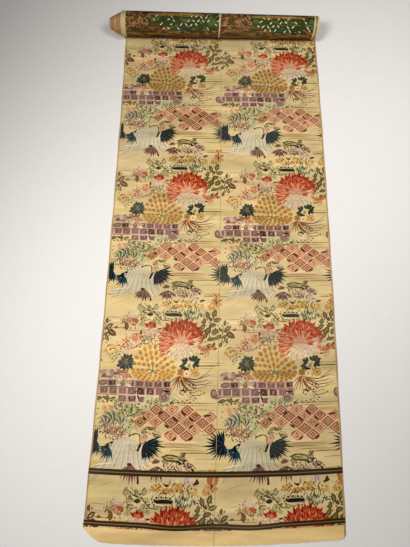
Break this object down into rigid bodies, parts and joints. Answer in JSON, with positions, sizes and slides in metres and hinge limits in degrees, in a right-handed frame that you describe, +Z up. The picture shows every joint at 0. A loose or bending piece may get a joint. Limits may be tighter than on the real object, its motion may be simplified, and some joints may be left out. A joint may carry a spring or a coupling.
{
  "type": "obi sash",
  "caption": "Double-width gold brocade obi sash laid out flat face up, its far end rolled up on top with the reverse side out.",
  "frame": {"origin": "on the underside of the cloth, at the middle of the stretch that lies flat", "axes": "+X across the cloth to the right, +Y along it towards the roll, +Z up out of its face"},
  "size_m": [0.7343, 1.6554, 0.0804],
  "materials": {
    "brocade_face": "gold-cream silk brocade with fine weft ribs, soft metallic lustre and woven flowers, cranes and cloud bands",
    "brocade_reverse": "reverse of the brocade, golden brown with loose floats of green, salmon and ivory silk",
    "rolled_edges": "close-wound selvage edges, dull pinkish tan"
  },
  "bodies": {
    "root": {"laid_stretch": "brocade_face", "outer_turn": "brocade_reverse", "rolled_layers": "rolled_edges"}
  },
  "joints": []
}
